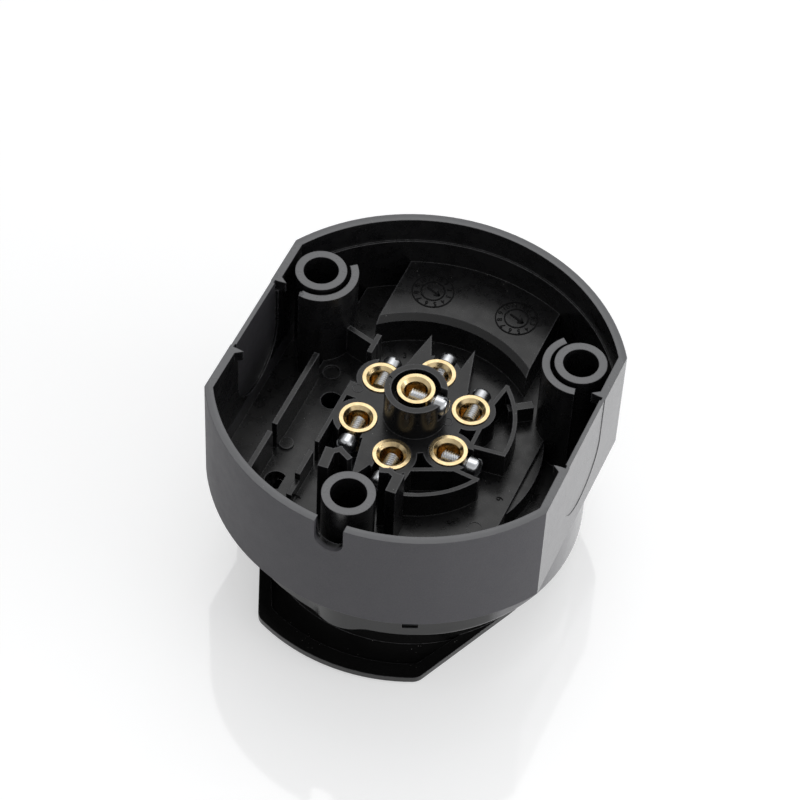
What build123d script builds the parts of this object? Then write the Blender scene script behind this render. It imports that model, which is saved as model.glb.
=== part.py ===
from build123d import *
import os
from math import acos, asin, atan2, cos, degrees, hypot, radians, sin, sqrt

# Seven-pin trailer socket, seen from its open rear while it lies face down on its closed lid.
# Sizes are millimetres. The rear rim is the plane z = 0 and +Z points out of the open rear.
# +Y points at the lid's hinge, and the origin lies on the axis of the barrel.

# Mounting holes
hole_spacing = 56.0
boss_angles = (30, 150, 270)
boss_radius = 5.2
boss_hole_radius = 3.55
seat_hole_radius = 2.8
seat_thickness = 3.0
boss_drop = 0.4

# Skirt
skirt_radius = 41.5
skirt_half_width = 35.8
skirt_depth = 27.0
skirt_edge = 0.8
round_wall = 2.1
flat_wall = 1.6
rim_relief = 0.45
rim_relief_depth = 6.0

# Cup floor
floor_depth = 19.5
floor_thickness = 2.5
floor_half_width = 24.2
side_wall = 2.0
channel_depth = 25.0

# Shoulder, barrel and plug well
shoulder_radius = 35.5
shoulder_wall = 2.0
shoulder_depth = 39.5
shoulder_edge = 1.2
bulge_rise = 1.3
bulge_radius = 9.2
bulge_blend = 10.0
collar_radius = 26.2
collar_drop = 1.0
barrel_radius = 24.6
barrel_depth = 47.0
well_radius = 21.0
well_web = 3.0
island_radius = 16.3
island_depth = 44.0
keyway_width = 5.0
keyway_depth = 1.6
web_thickness = 1.6
web_drop = 3.0
web_angles = (0, 180, 215, 240, 300, 325)

# Terminals
terminal_circle = 11.23
terminal_top = 12.9
plateau_depth = 13.2
plateau_margin = 5.0
centre_top = 5.05
post_radius = 6.25
post_hollow_radius = 4.9
post_hollow_depth = 9.8
screw_drop = 2.4

# Contact
flange_radius = 3.8
flange_thickness = 1.3
contact_radius = 3.5
contact_shank_end = 24.0
sleeve_radius = 3.1
sleeve_end = 43.4
wire_hole_radius = 2.35
wire_hole_length = 8.5
mouth_chamfer = 0.65
pin_hole_radius = 2.5
pin_hole_length = 16.0
sleeve_slit = 0.8
sleeve_slit_length = 9.0
contact_gap = 0.05

# Clamp screw
thread_radius = 1.45
thread_gap = 0.05
head_radius = 1.95
head_length = 2.7
head_offset = 4.2
screw_tip = 1.3
driver_slot_width = 0.6
driver_slot_depth = 1.1
screw_travel = 2.0
head_room = 0.35

# Ledge over the hinge recess
ledge_depth = 12.2
ledge_half_width = 16.5
ledge_radius = 24.5
ledge_bevel = 1.2
recess_half_width = 14.6
recess_radius = 26.6
recess_roof = 2.2

# Hinge
hinge_y = 33.5
hinge_depth = 37.0
hinge_pin_radius = 1.5
pin_seat_gap = 0.03
knuckle_radius = 3.2
knuckle_gap = 0.05
cheek_thickness = 2.0
arm_inner = 8.4
arm_side_gap = 0.4
pin_overhang = 0.3

# Lid
lid_radius = 30.4
lid_face_depth = 50.0
lid_plate = 2.0
lid_rim_wall = 2.0
lid_rim_depth = 42.5
tongue_radius = 39.3
tongue_corner_half_width = 17.6
tongue_corner_radius = 3.0
tongue_border_side = 1.7
tongue_border_end = 3.4
tray_depth = 1.0
lid_edge = 0.6
catch_width = 8.0
catch_height = 2.5
catch_thickness = 1.9
seal_inner_radius = 22.4
seal_width = 3.6
seal_gap = 0.15

# Lid spring
wire_radius = 0.5
spring_radius = 2.5
spring_turns = 5
spring_pitch = 1.3
spring_touch_gap = 0.05
lid_leg_depth = 45.5
housing_leg_depth = 25.0

# Small moulded features
crescent_radius = 7.6
crescent_wall = 1.55
crescent_drop = 1.0
crescent_half_angle = 72
crescent_groove_depth = 11.0
drain_width = 6.0
drain_depth = 7.4
knockout_radius = 9.2
knockout_straight = 12.0
knockout_outer_relief = 0.12
knockout_inner_relief = 0.6
notch_width = 0.8
notch_depth = 2.6
notch_skin = 0.7
thin_wall = 0.9
pocket_radius = 20.4
hook_top = 2.5
hook_leg_thickness = 2.1
hook_bar_thickness = 1.2
rib_depth = 12.0
low_rib_depth = 15.0
lowest_rib_depth = 17.0
rib_thickness = 1.1
shelf_width = 3.7
stub_thickness = 1.8
stub_depth = 15.5
knob_radius = 1.5
knob_height = 0.5
switch_hole_radius = 2.1
locator_hole_radius = 2.2
locator_flat = 1.3
dimple_radius = 1.7
dimple_depth = 0.5
side_notch_angle = 293.5
side_notch_width = 3.2
side_notch_depth = 0.8
side_notch_end = 36.2

# Points on the cup floor, in the plane of the rim, read from the photo
fin_outlines = (
    ((-7.2, 8.5), (-5.1, pocket_radius), (-2.3, 13.6), (-2.3, 9.0)),
    ((3.0, 9.0), (4.4, pocket_radius), (7.3, 9.8), (6.0, 6.0)),
    ((-7.4, -7.5), (-5.2, -18.4), (-4.2, -18.1), (-2.6, -14.6), (-3.4, -8.0)),
)
hook_lines = (
    ((-7.8, -26.2), (-8.1, -23.4), (-6.4, -21.9), (-4.3, -23.0)),
    ((6.4, -26.2), (6.3, -23.5), (4.3, -22.6), (2.9, -23.1)),
)
# Each pocket: the angles where its arc ends, and the points of the wall between them
pockets = (
    (-5, 46, ((13.2, -2.5), (12.95, 8.6))),
    (-78, -29, ((4.6, -13.0), (12.4, -9.3))),
)
# Each rib: start, end, thickness and depth of its top
rib_edge = -floor_half_width + rib_thickness / 2
rib_lines = (
    ((-14.65, -14.05), (-14.65, 2.05), thin_wall, plateau_depth),
    ((-13.25, 0.65), (-9.85, 0.65), shelf_width, plateau_depth),
    ((rib_edge, -14.3), (rib_edge, 4.6), rib_thickness, rib_depth),
    ((rib_edge, -26.4), (rib_edge, -17.4), rib_thickness, rib_depth),
    ((-15.3, -21.5), (-15.3, -16.2), rib_thickness, low_rib_depth),
    ((-15.3, -25.5), (-15.3, -16.2), rib_thickness, lowest_rib_depth),
    ((-21.0, 14.2), (-14.3, 12.4), rib_thickness, rib_depth),
    ((-14.3, 10.4), (-14.3, 14.4), rib_thickness, rib_depth),
    ((16.2, 11.7), (19.0, 13.7), stub_thickness, stub_depth),
)
switch_hole = (-18.4, 0.8)
locator_hole = (-19.9, -22.2)
dimple_place = (-21.4, 7.6)
knob_place = (-21.8, -13.2)

# Worked out from the sizes above
pitch_radius = hole_spacing / sqrt(3)
floor_bottom = floor_depth + floor_thickness
bore_gap = contact_radius + contact_gap
arm_outer = recess_half_width - arm_side_gap
cup_radius = skirt_radius - round_wall
cup_half_width = skirt_half_width - flat_wall
lid_inside = lid_face_depth - lid_plate
bend_radius = 1.2 * wire_radius

# How far a cut runs past what it cuts, and past the whole part
overcut = 1.0
beyond = 60.0


def at(radius, angle):
    return (radius * cos(radians(angle)), radius * sin(radians(angle)))


def disc(radius, low, high, centre=(0, 0)):
    return Pos(centre[0], centre[1], (low + high) / 2) * Cylinder(radius, high - low)


def ring(inner, outer, low, high, centre=(0, 0)):
    return disc(outer, low, high, centre) - disc(inner, low - 1, high + 1, centre)


def block(x_range, y_range, z_range):
    ranges = (x_range, y_range, z_range)
    middle = [(low + high) / 2 for low, high in ranges]
    lengths = [high - low for low, high in ranges]
    return Pos(*middle) * Box(*lengths)


def slab(face, low, high):
    return extrude(Pos(0, 0, low) * face, amount=high - low, dir=(0, 0, 1))


def prism(points, low, high):
    return slab(make_face(Polyline(*points, close=True)), low, high)


def wall(start, end, thickness, low, high):
    line = Line(start, end)
    middle = line @ 0.5
    heading = line % 0
    angle = degrees(atan2(heading.Y, heading.X))
    shape = Box(line.length + thickness, thickness, high - low)
    return Pos(middle.X, middle.Y, (low + high) / 2) * Rot(0, 0, angle) * shape


def outline(radius, half_width):
    return Circle(radius) & Rectangle(2 * half_width, 2 * radius)


# Terminals: name, place of the axis, depth of the brass top, and the way the screw points
outer_screw_ways = {1: (30, 90), 2: (90, 90), 3: (150, 90), 4: (210, 270), 5: (270, 270), 6: (330, 0)}
terminals = {}
for number, (place, way) in outer_screw_ways.items():
    terminals[number] = (at(terminal_circle, place), terminal_top, way)
terminals[7] = ((0, 0), centre_top, 0)


def skirt():
    shell = slab(outline(skirt_radius, skirt_half_width), -skirt_depth, 0)
    shell = chamfer(shell.faces().sort_by(Axis.Z)[0].edges(), skirt_edge)
    rim_face = outline(cup_radius + rim_relief, cup_half_width)
    return shell - slab(rim_face, -rim_relief_depth, overcut)


def cup():
    # Everything inside the skirt but the floor in the middle and the collar round the terminals
    space = slab(outline(cup_radius, cup_half_width), -channel_depth, overcut)
    under_floor = block((-floor_half_width, floor_half_width), (-beyond, beyond), (-beyond, -floor_depth))
    collar = disc(collar_radius, -beyond, -floor_depth - collar_drop)
    return space - under_floor - collar


def shoulder_face():
    # A round face that bulges softly round each mounting hole
    face = Circle(shoulder_radius)
    bulge_distance = shoulder_radius + bulge_rise - bulge_radius
    for angle in boss_angles:
        face += Rot(0, 0, angle) * Pos(bulge_distance, 0) * Rot(0, 0, 180) * Circle(bulge_radius)
    corners = face.vertices().filter_by(lambda v: abs(v.Y) > 1)
    return fillet(corners, bulge_blend)


def groove():
    half_width = floor_half_width - side_wall
    space = disc(cup_radius, -skirt_depth - overcut, -floor_bottom)
    space &= block((-half_width, half_width), (-beyond, beyond), (-beyond, 0))
    return space - slab(shoulder_face(), -beyond, 0)


def moat():
    inner = collar_radius
    outer = shoulder_radius - shoulder_wall
    low = -shoulder_depth - overcut
    shallow = ring(inner, outer, low, -skirt_depth)
    deep = ring(inner, outer, low, -floor_bottom)
    strip = floor_half_width - side_wall
    deep &= block((-strip, strip), (-beyond, beyond), (-beyond, 0))
    space = shallow + deep
    for angle in boss_angles:
        space -= disc(boss_radius, -beyond, 0, at(pitch_radius, angle))
    for angle in web_angles:
        web = block((inner - 1, outer + 1), (-web_thickness / 2, web_thickness / 2),
                    (-shoulder_depth + web_drop, 0))
        space -= Rot(0, 0, angle) * web
    return space


def shoulder_and_barrel():
    shoulder = slab(shoulder_face(), -shoulder_depth, -floor_bottom)
    shoulder = fillet(shoulder.faces().sort_by(Axis.Z)[0].edges(), shoulder_edge)
    barrel = disc(barrel_radius, -barrel_depth, -shoulder_depth + 1)
    barrel = chamfer(barrel.edges().sort_by(Axis.Z)[0], skirt_edge)
    return shoulder + barrel


def plug_well():
    bottom = -floor_depth - well_web
    well = ring(island_radius, well_radius, -barrel_depth - 1, bottom)
    well += disc(well_radius, -barrel_depth - 1, -island_depth)
    keyway = block((-keyway_width / 2, keyway_width / 2), (-well_radius - keyway_depth, -well_radius + 2),
                   (-barrel_depth - 1, -shoulder_depth + 4))
    return well + keyway


def hinge_recess():
    width = recess_half_width
    recess = block((-width, width), (0, beyond), (-beyond, -ledge_depth - recess_roof))
    return recess & ring(recess_radius, cup_radius, -beyond, 0)


def ledge():
    width = ledge_half_width
    top = -ledge_depth
    strip = block((-width, width), (0, beyond), (-floor_depth - overcut, top))
    body = strip & ring(ledge_radius, cup_radius + round_wall / 4, -beyond, 0)
    inner_edges = body.edges().filter_by(GeomType.CIRCLE).group_by(Axis.Z)[-1].sort_by(SortBy.RADIUS)
    return chamfer(inner_edges[0], ledge_bevel)


def hinge_cheeks():
    cheeks = []
    foot = recess_radius + 1
    for side in (-1, 1):
        inner = side * recess_half_width
        outer = side * (recess_half_width + cheek_thickness)
        x_range = (min(inner, outer), max(inner, outer))
        plate = block(x_range, (foot, hinge_y + knuckle_radius), (-hinge_depth, -floor_bottom))
        eye = Pos((inner + outer) / 2, hinge_y, -hinge_depth)
        plate += eye * Rot(0, 90, 0) * Cylinder(knuckle_radius, cheek_thickness)
        plate += block(x_range, (foot, hinge_y), (-shoulder_depth, -floor_bottom))
        cheeks.append(plate)
    return cheeks


def hinge_hole(radius):
    return Pos(0, hinge_y, -hinge_depth) * Rot(0, 90, 0) * Cylinder(radius, beyond)


def plateau():
    low = -floor_depth - 1
    top = -plateau_depth
    spots = [place for place, depth, way in terminals.values() if depth == terminal_top]
    body = prism(spots, low, top)
    for spot in spots:
        body += disc(plateau_margin, low, top, spot)
    post = disc(post_radius, low, -centre_top)
    post -= disc(post_hollow_radius, -post_hollow_depth, 0)
    return body + post


def fins():
    low = -floor_depth - overcut
    return [prism(points, low, -plateau_depth) for points in fin_outlines]


def wall_along(points, thickness, low, top):
    return [wall(start, end, thickness, low, top) for start, end in zip(points[:-1], points[1:])]


def pocket(first_angle, last_angle, points):
    # A thin wall that follows the points from one end of an arc to the other
    top = -plateau_depth
    low = -floor_depth - overcut
    middle = pocket_radius - thin_wall / 2
    arc_wall = ring(pocket_radius - thin_wall, pocket_radius, low, top)
    sector = [(0, 0)]
    for part in (0, 0.25, 0.5, 0.75, 1):
        sector.append(at(2 * pocket_radius, first_angle + (last_angle - first_angle) * part))
    line = [at(middle, first_angle), *points, at(middle, last_angle)]
    return [arc_wall & prism(sector, low - overcut, 0)] + wall_along(line, thin_wall, low, top)


def screw_bay(place, top, way):
    # Room for the head, the travel of the screw and the driver
    reach = head_offset + head_length + screw_travel + head_room
    half = head_radius + head_room
    low = -top - screw_drop - half
    notch = block((0, reach), (-half, half), (low, 0))
    return Pos(place[0], place[1], 0) * Rot(0, 0, way) * notch


def contact_bore(place, top):
    seat = top + flange_thickness
    bore = disc(flange_radius + contact_gap, -seat, 0, place)
    bore += disc(bore_gap, -contact_shank_end, 0, place)
    return bore + disc(sleeve_radius + contact_gap, -beyond, 0, place)


def boss(angle):
    centre = at(pitch_radius, angle)
    return disc(boss_radius, -channel_depth - overcut, -boss_drop, centre)


def boss_hole(angle):
    centre = at(pitch_radius, angle)
    hole = disc(boss_hole_radius, -shoulder_depth + seat_thickness, 1, centre)
    return hole + disc(seat_hole_radius, -shoulder_depth - 1, 1, centre)


def crescent(angle):
    # A half shell round the boss on the side of the barrel, with a groove behind it
    centre = at(pitch_radius, angle)
    low = -channel_depth - overcut
    top = -crescent_drop
    shell = disc(crescent_radius, low, top, centre)
    shell -= disc(crescent_radius - crescent_wall, -crescent_groove_depth, 0, centre)
    facing = angle + 180
    corners = [centre]
    for turn in (-1, -0.5, 0, 0.5, 1):
        reach = at(2.5 * crescent_radius, facing + turn * crescent_half_angle)
        corners.append((centre[0] + reach[0], centre[1] + reach[1]))
    return shell & prism(corners, -beyond, beyond)


def hooks():
    # Two bent posts beside the lower boss guide the cable
    low = -floor_depth - overcut
    pieces = []
    for points in hook_lines:
        pieces += wall_along(points[:2], hook_leg_thickness, low, -hook_top)
        pieces += wall_along(points[1:], hook_bar_thickness, low, -hook_top)
    return pieces


def floor_ribs():
    low = -floor_depth - overcut
    pieces = [disc(knob_radius, low, -floor_depth + knob_height, knob_place)]
    for start, end, thickness, depth in rib_lines:
        pieces.append(wall(start, end, thickness, low, -depth))
    return pieces


def floor_holes():
    # The locator's hole is flat on its right
    x, y = locator_hole
    low = -floor_depth - well_web - overcut
    flat_side = block((x - beyond, x + locator_flat), (y - beyond, y + beyond), (-beyond, beyond))
    return [
        disc(switch_hole_radius, low, 0, switch_hole),
        disc(locator_hole_radius, low, 0, locator_hole) & flat_side,
        disc(dimple_radius, -floor_depth - dimple_depth, 0, dimple_place),
    ]


def knockout(side):
    # A thinned U-shaped panel in the flat, with a notch and a barb at each end
    shape = Pos(0, -knockout_straight) * Circle(knockout_radius)
    shape += Pos(0, -knockout_straight / 2 + 1) * Rectangle(2 * knockout_radius, knockout_straight + 2)
    face = Plane(origin=(0, 0, 0), x_dir=(0, 1, 0), z_dir=(1, 0, 0)) * shape
    outer = extrude(Pos(skirt_half_width - knockout_outer_relief, 0, 0) * face, 2)
    inner = extrude(Pos(cup_half_width - 2, 0, 0) * face, 2 + knockout_inner_relief)
    cuts = outer + inner
    for y in (-knockout_radius, knockout_radius):
        cuts += block((cup_half_width - 1, skirt_half_width - notch_skin),
                      (y - notch_width / 2, y + notch_width / 2), (-notch_depth, 1))
    return cuts if side > 0 else mirror(cuts, Plane.YZ)


def barbs():
    pieces = []
    near = knockout_radius + notch_width / 2
    for side in (-1, 1):
        for end in (-1, 1):
            points = [(side * cup_half_width, end * near), (side * (cup_half_width - 1.5), end * (near + 0.2)),
                      (side * cup_half_width, end * (near + 1.3))]
            pieces.append(prism(points, -notch_depth, 0))
    return pieces


def side_notch():
    radius_range = (shoulder_radius - side_notch_depth, shoulder_radius + overcut)
    width_range = (-side_notch_width / 2, side_notch_width / 2)
    notch = block(radius_range, width_range, (-side_notch_end, -skirt_depth))
    return Rot(0, 0, side_notch_angle) * notch


def drain_slot():
    half = drain_width / 2
    inner_y = -cup_radius + overcut
    slot = block((-half, half), (-beyond, inner_y), (-drain_depth + half, overcut))
    length = beyond + inner_y
    end = Pos(0, inner_y - length / 2, -drain_depth + half) * Rot(90, 0, 0) * Cylinder(half, length)
    return slot + end


def housing():
    body = skirt() + shoulder_and_barrel()
    body -= cup()
    body -= groove()
    body -= moat()
    body -= plug_well()
    body += plateau()
    body += ledge()
    pieces = fins() + hooks() + floor_ribs() + barbs()
    for first_angle, last_angle, points in pockets:
        pieces += pocket(first_angle, last_angle, points)
    for angle in boss_angles[:2]:
        pieces.append(crescent(angle))
    for angle in boss_angles:
        pieces.append(boss(angle))
    for piece in pieces:
        body += piece
    body -= hinge_recess()
    for cheek in hinge_cheeks():
        body += cheek
    body -= hinge_hole(hinge_pin_radius + pin_seat_gap)
    for place, top, way in terminals.values():
        body -= contact_bore(place, top)
        body -= screw_bay(place, top, way)
    for angle in boss_angles:
        body -= boss_hole(angle)
    for hole in floor_holes():
        body -= hole
    for side in (-1, 1):
        body -= knockout(side)
    return body - side_notch() - drain_slot()


def tongue_face(corner_half_width, end_radius, base_radius, corner_radius):
    # Straight flanks run from the round of the lid to the corners of the tongue
    corner_y = -sqrt(end_radius ** 2 - corner_half_width ** 2)
    corner_angle = -90 + degrees(asin(corner_half_width / end_radius))
    flank_angle = corner_angle + degrees(acos(base_radius / end_radius))
    tangent = at(base_radius, flank_angle)
    left_corner = (-corner_half_width, corner_y)
    right_corner = (corner_half_width, corner_y)
    outline_edges = [
        Line((-tangent[0], tangent[1]), left_corner),
        ThreePointArc(left_corner, (0, -end_radius), right_corner),
        Line(right_corner, tangent),
        Line(tangent, (-tangent[0], tangent[1])),
    ]
    face = make_face(outline_edges)
    corners = face.vertices().filter_by(lambda v: abs(v.Y - corner_y) < 0.01)
    return fillet(corners, corner_radius)


def lid():
    outer = Circle(lid_radius) + tongue_face(
        tongue_corner_half_width, tongue_radius, lid_radius, tongue_corner_radius)
    plate = slab(outer, -lid_face_depth, -lid_inside)
    plate = chamfer(plate.faces().sort_by(Axis.Z)[0].edges(), lid_edge)
    tray = tongue_face(
        tongue_corner_half_width - tongue_border_side, tongue_radius - tongue_border_end,
        lid_radius - tongue_border_side, tongue_corner_radius - 1)
    tray_space = slab(tray, -lid_inside - tray_depth, -lid_inside + 1)
    plate -= tray_space - disc(lid_radius, -beyond, 0)
    rim = ring(lid_radius - lid_rim_wall, lid_radius, -lid_inside - 0.5, -lid_rim_depth)
    body = plate + rim
    inner_y = lid_radius - lid_rim_wall
    catch = block((-catch_width / 2, catch_width / 2), (inner_y - catch_thickness, inner_y + 0.5),
                  (-lid_inside - 0.5, -lid_inside + catch_height))
    body += catch
    for side in (-1, 1):
        body += hinge_arm(side)
    return body - hinge_hole(hinge_pin_radius + knuckle_gap)


def hinge_arm(side):
    root = lid_radius - 4.0
    points = [(root, -lid_inside - 0.5), (lid_radius - 0.6, -lid_inside - 0.5),
              (hinge_y + knuckle_radius, -hinge_depth), (hinge_y - knuckle_radius, -hinge_depth)]
    plane = Plane(origin=(0, 0, 0), x_dir=(0, 1, 0), z_dir=(1, 0, 0))
    profile = plane * make_face(Polyline(*points, close=True))
    width = arm_outer - arm_inner
    start = arm_inner if side > 0 else -arm_outer
    arm = extrude(Pos(start, 0, 0) * profile, width, dir=(1, 0, 0))
    eye = Pos(start + width / 2, hinge_y, -hinge_depth) * Rot(0, 90, 0)
    return arm + eye * Cylinder(knuckle_radius, width)


def lid_seal():
    outer = seal_inner_radius + seal_width
    seal = ring(seal_inner_radius, outer, -lid_inside, -barrel_depth - seal_gap)
    return seal


def hinge_pin():
    length = 2 * (recess_half_width + cheek_thickness + pin_overhang)
    pin = Cylinder(hinge_pin_radius, length)
    pin = chamfer(pin.edges().filter_by(GeomType.CIRCLE), 0.3)
    return Pos(0, hinge_y, -hinge_depth) * Rot(0, 90, 0) * pin


def leg_angle(point, turn):
    # Where a line through the point touches the coil, as an angle round the hinge pin
    reach = hypot(*point)
    return degrees(atan2(point[1], point[0])) + turn * degrees(acos(spring_radius / reach))


def spring_leg(point, angle, along):
    # A small ball joins the leg to the end of the coil, where the wire bends
    bend = Vector(*at(spring_radius, angle), along)
    tip = Vector(point[0], point[1], along)
    start = bend + (tip - bend).normalized() * wire_radius / 2
    path = Line(start, tip)
    section = Plane(origin=start, z_dir=path % 0) * Circle(wire_radius)
    return sweep(section, path=path) + Pos(bend) * Sphere(bend_radius)


def lid_spring():
    # A torsion coil round the pin, with one leg on the rim of the lid and one on the collar
    stand_off = wire_radius + spring_touch_gap
    height = spring_turns * spring_pitch
    side = height / 2
    rim_y = sqrt(lid_radius ** 2 - side ** 2) + stand_off
    collar_y = sqrt(recess_radius ** 2 - side ** 2) + stand_off
    lid_point = (rim_y - hinge_y, hinge_depth - lid_leg_depth)
    housing_point = (collar_y - hinge_y, hinge_depth - housing_leg_depth)
    first = leg_angle(lid_point, 1)
    last = leg_angle(housing_point, -1)
    turns = int(spring_turns) + (last - first) / 360
    pitch = height / turns
    path = Rot(0, 0, first) * Helix(pitch, height, spring_radius)
    section = Plane(origin=path @ 0, z_dir=path % 0) * Circle(wire_radius)
    spring = sweep(section, path=path, is_frenet=True)
    spring += spring_leg(lid_point, first, 0)
    spring += spring_leg(housing_point, last, height)
    axis = Plane(origin=(-side, hinge_y, -hinge_depth), x_dir=(0, 1, 0), z_dir=(1, 0, 0))
    return axis * spring


def contact(place, top, way):
    # Turned brass sleeve: wire hole at the rear, split socket for the plug's pin at the front
    seat = top + flange_thickness
    profile = make_face(Polyline(
        (wire_hole_radius + mouth_chamfer, -top), (flange_radius, -top), (flange_radius, -seat),
        (contact_radius, -seat), (contact_radius, -contact_shank_end), (sleeve_radius, -contact_shank_end),
        (sleeve_radius, -sleeve_end), (pin_hole_radius, -sleeve_end),
        (pin_hole_radius, -sleeve_end + pin_hole_length), (0, -sleeve_end + pin_hole_length),
        (0, -top - wire_hole_length), (wire_hole_radius, -top - wire_hole_length),
        (wire_hole_radius, -top - mouth_chamfer), close=True))
    body = revolve(Plane.XZ * profile, Axis.Z)
    low = -sleeve_end - 1
    high = -sleeve_end + sleeve_slit_length
    body -= block((-5, 5), (-sleeve_slit / 2, sleeve_slit / 2), (low, high))
    axis_depth = top + screw_drop
    hole = Pos(contact_radius, 0, -axis_depth) * Rot(0, 90, 0)
    body -= hole * Cylinder(thread_radius + thread_gap, 2 * contact_radius)
    return Pos(place[0], place[1], 0) * Rot(0, 0, way) * body


def clamp_screw(place, top, way):
    length = head_offset + screw_tip
    shank = Pos(length / 2 - screw_tip, 0, 0) * Rot(0, 90, 0) * Cylinder(thread_radius, length)
    head = Cylinder(head_radius, head_length)
    head = fillet(head.edges().sort_by(Axis.Z)[-1], 0.6)
    head = Pos(head_offset + head_length / 2, 0, 0) * Rot(0, 90, 0) * head
    end = head_offset + head_length
    slot = block((end - driver_slot_depth, end + 1), (-5, 5), (-driver_slot_width / 2, driver_slot_width / 2))
    screw = shank + head - slot
    return Pos(place[0], place[1], -top - screw_drop) * Rot(0, 0, way) * screw


def main():
    os.makedirs("parts", exist_ok=True)
    nodes = {
        "housing": housing(),
        "lid": lid(),
        "lid_seal": lid_seal(),
        "hinge_pin": hinge_pin(),
        "lid_spring": lid_spring(),
    }
    for number, (place, top, way) in terminals.items():
        nodes[f"contact_{number}"] = contact(place, top, way)
        nodes[f"clamp_screw_{number}"] = clamp_screw(place, top, way)
    for name, solid in nodes.items():
        export_step(solid, f"parts/{name}.step")


main()
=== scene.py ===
from math import ceil, cos, pi, radians, sin

import bmesh
import bpy
from bpy.props import FloatProperty, FloatVectorProperty, IntProperty, PointerProperty
from mathutils import Euler, Matrix, Vector


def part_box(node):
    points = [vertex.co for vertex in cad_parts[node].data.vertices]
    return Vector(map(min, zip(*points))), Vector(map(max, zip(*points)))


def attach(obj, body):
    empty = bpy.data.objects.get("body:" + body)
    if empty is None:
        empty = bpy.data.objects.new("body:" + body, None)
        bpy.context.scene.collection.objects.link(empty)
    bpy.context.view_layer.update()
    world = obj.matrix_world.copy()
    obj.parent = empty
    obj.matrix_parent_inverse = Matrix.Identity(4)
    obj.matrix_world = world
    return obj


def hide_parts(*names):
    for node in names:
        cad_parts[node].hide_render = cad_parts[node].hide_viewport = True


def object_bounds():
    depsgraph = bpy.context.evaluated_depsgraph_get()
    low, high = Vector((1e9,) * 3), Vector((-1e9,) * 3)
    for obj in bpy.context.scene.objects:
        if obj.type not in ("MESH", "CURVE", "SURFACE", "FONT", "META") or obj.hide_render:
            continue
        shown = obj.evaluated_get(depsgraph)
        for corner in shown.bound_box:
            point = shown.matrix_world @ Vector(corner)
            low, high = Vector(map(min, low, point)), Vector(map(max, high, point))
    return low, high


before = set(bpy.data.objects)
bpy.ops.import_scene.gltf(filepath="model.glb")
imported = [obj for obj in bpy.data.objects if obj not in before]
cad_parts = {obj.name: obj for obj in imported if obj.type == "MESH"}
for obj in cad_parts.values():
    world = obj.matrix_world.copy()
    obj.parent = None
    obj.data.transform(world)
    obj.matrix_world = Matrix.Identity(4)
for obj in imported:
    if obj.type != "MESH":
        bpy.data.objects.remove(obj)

bl_info = {
    "name": "Seven-pin trailer socket",
    "version": (1, 0, 0),
    "blender": (4, 5, 0),
    "location": "View3D > Sidebar > Socket",
    "description": "Finishes, moulded marks and stage for a seven-pin trailer socket",
    "category": "Object",
}

# The drawing is in millimetres, and Blender works in metres
MM = 0.001
PINS = range(1, 8)
cad_low, cad_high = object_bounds()

# Where the finish of the housing, and the painted light on its tops, change, in millimetres: under its top,
# inwards from its widest, below the cup, outwards from the middle, and at the foot of the skirt
RIM_BAND = (1.4, 1.1)
SKIN = 1.3
BELOW_CUP = (-21.0, -20.0)
FAR_SIDE = (27.0, 29.0)
SKIRT_DEPTH = 27.0
SKIRT_EDGE = 0.1

# How far above the housing a ray starts that looks for its top, in millimetres
RAY_START = 10.0

# Where the mottle of the grain lies, between its darkest and its palest
MOTTLE = (0.3, 0.7)

# The screw's head, in millimetres: its dome, its bevel along and across, and how far it covers the thread
HEAD_DOME = 1.0
HEAD_BEVEL = (0.2, 0.25)
HEAD_COVER = 0.1

# The thread's flat crest and the start of its tip, as shares, and the turn from screw to screw, in degrees
THREAD_CREST = 1.25
THREAD_TIP = 0.45
SCREW_ROLL = 37

# How finely a screw is drawn
SCREW_STEPS = 40
DOME_STEPS = 6
ROWS_PER_TURN = 8

# The dials: places and line widths in millimetres, lengths as shares of the dial's radius
DIAL_PLACES = {"left": (-9.2, 30.3), "right": (9.0, 30.9)}
DIAL_STROKE = 0.27
DIAL_NUMBER_SIZE = 1.55
DIAL_INNER_RING = 0.52
DIAL_NUMBER_RING = 0.77
ARROW_TAIL = (-0.35, 0.12, 0)
ARROW_HEAD = (0.38, -0.13, 0)
ARROW_STROKES = 1.6
BARB_LENGTH = 0.28
BARB_STROKES = 1.3
BARB_TURN = 0.6

# The terminal numbers: x and y in millimetres, and the turn in degrees. The middle one has little room
NUMBER_PLACES = {
    1: (9.8, 19.8, -40), 2: (-0.6, 22.0, 0), 3: (-9.7, 17.8, 20), 4: (-14.2, -24.2, 70),
    5: (15.4, -17.0, -60), 6: (21.8, -7.6, -75), 7: (-5.6, 0.5, 90),
}
MIDDLE_NUMBER = 7
MIDDLE_NUMBER_SIZE = 1.0

# The ejector marks: x, y and radius in millimetres, the width of their rings, and their share of the height
EJECTOR_SPOTS = {
    "plateau_left": (-12.9, 1.3, 1.1), "plateau_right": (6.7, 1.1, 1.0),
    "crescent_left": (-29.2, 9.4, 0.45), "floor_right": (20.2, -16.4, 1.6),
}
EJECTOR_WIDTH = 0.16
EJECTOR_SHARE = 0.6
EJECTOR_STEPS = 40

# The table, in metres, and the camera's sensor, in millimetres
TABLE_HALF = 3.0
TABLE_ROUGHNESS = 0.06
TABLE_IOR = 1.65
SENSOR_WIDTH = 36

# The studio's white: its strength level and high up, how high that is, what the right side has more than
# the middle, and the cosines between which the sheen sets in
LEVEL_WHITE = 0.85
HIGH_WHITE = 0.45
HIGH_FROM = 0.9
RIGHT_WHITE = 0.2
SHEEN_COSINES = (0.86, 0.985)


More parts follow.
